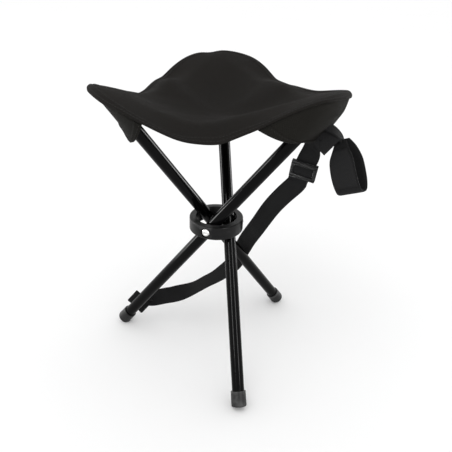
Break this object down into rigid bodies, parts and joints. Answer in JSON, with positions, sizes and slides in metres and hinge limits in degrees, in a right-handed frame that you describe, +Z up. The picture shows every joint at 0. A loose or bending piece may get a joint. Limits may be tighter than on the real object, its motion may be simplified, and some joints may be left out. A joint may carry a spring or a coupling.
{
  "type": "folding stool",
  "caption": "Folding camp stool: crossed tubes riveted to a round hub, a slung cloth seat, a webbing carry strap and a closure loop",
  "frame": {"origin": "on the floor, under the hub's axis", "axes": "+Z is up, the seat's side. +X points from the hub's axis to the front leg's pivot, and -Y to the front leg's foot"},
  "size_m": [0.3121, 0.3094, 0.3941],
  "materials": {
    "hub_plastic": "satin black moulded nylon",
    "rivet_steel": "plain zinc-plated steel",
    "spacer_nylon": "matt black nylon",
    "tube_paint": "gloss black paint",
    "foot_rubber": "matt black rubber",
    "plug_plastic": "matt black plastic",
    "pocket_cloth": "plain black coated cloth",
    "seat_cloth": "plain black woven cloth",
    "buckle_plastic": "satin black moulded plastic",
    "webbing": "black woven webbing"
  },
  "bodies": {
    "hub": {"hub_ring": "hub_plastic", "seat_panel": "seat_cloth", "pivot_rivet_front": "rivet_steel", "pivot_spacer_front": "spacer_nylon", "backing_washer_front": "rivet_steel", "pivot_rivet_right": "rivet_steel", "pivot_spacer_right": "spacer_nylon", "backing_washer_right": "rivet_steel", "pivot_rivet_left": "rivet_steel", "pivot_spacer_left": "spacer_nylon", "backing_washer_left": "rivet_steel"},
    "leg_front": {"leg_tube_front": "tube_paint", "foot_cap_front": "foot_rubber", "tube_plug_front": "plug_plastic", "corner_pocket_front": "pocket_cloth"},
    "leg_right": {"leg_tube_right": "tube_paint", "foot_cap_right": "foot_rubber", "tube_plug_right": "plug_plastic", "corner_pocket_right": "pocket_cloth"},
    "leg_left": {"leg_tube_left": "tube_paint", "foot_cap_left": "foot_rubber", "tube_plug_left": "plug_plastic", "corner_pocket_left": "pocket_cloth", "carry_strap_upper": "webbing", "carry_strap_lower": "webbing", "strap_foot_tab": "webbing", "strap_rivet": "rivet_steel", "closure_tab": "webbing"},
    "adjuster": {"strap_adjuster": "buckle_plastic"},
    "loop": {"closure_loop": "webbing"}
  },
  "joints": [
    {"name": "leg_front_fold", "type": "hinge", "parent": "hub", "child": "leg_front", "pos_m": [0.017, 0, 0.2], "axis": [1, 0, 0], "range_deg": [0, 34], "deforming": ["corner_pocket_front", "seat_panel"]},
    {"name": "leg_right_fold", "type": "hinge", "parent": "hub", "child": "leg_right", "pos_m": [-0.0085, 0.01472, 0.2], "axis": [-0.5, 0.866, 0], "range_deg": [0, 34], "deforming": ["corner_pocket_right"]},
    {"name": "leg_left_fold", "type": "hinge", "parent": "hub", "child": "leg_left", "pos_m": [-0.0085, -0.01472, 0.2], "axis": [-0.5, -0.866, 0], "range_deg": [0, 34], "deforming": ["corner_pocket_left", "carry_strap_upper", "carry_strap_lower", "closure_tab"]},
    {"name": "strap_adjuster_slide", "type": "slide", "parent": "leg_left", "child": "adjuster", "axis": [-0.1557, 0.3948, -0.9055], "range_m": [-0.012, 0.008]},
    {"name": "closure_loop_swing", "type": "hinge", "parent": "leg_left", "child": "loop", "pos_m": [0.1315, -0.083, 0.342], "axis": [0.7001, -0.5792, 0.4176], "range_deg": [-30, 40]}
  ],
  "couplings": [
    {"joint": "leg_right_fold", "follows": "leg_front_fold", "ratio": 1},
    {"joint": "leg_left_fold", "follows": "leg_front_fold", "ratio": 1}
  ]
}
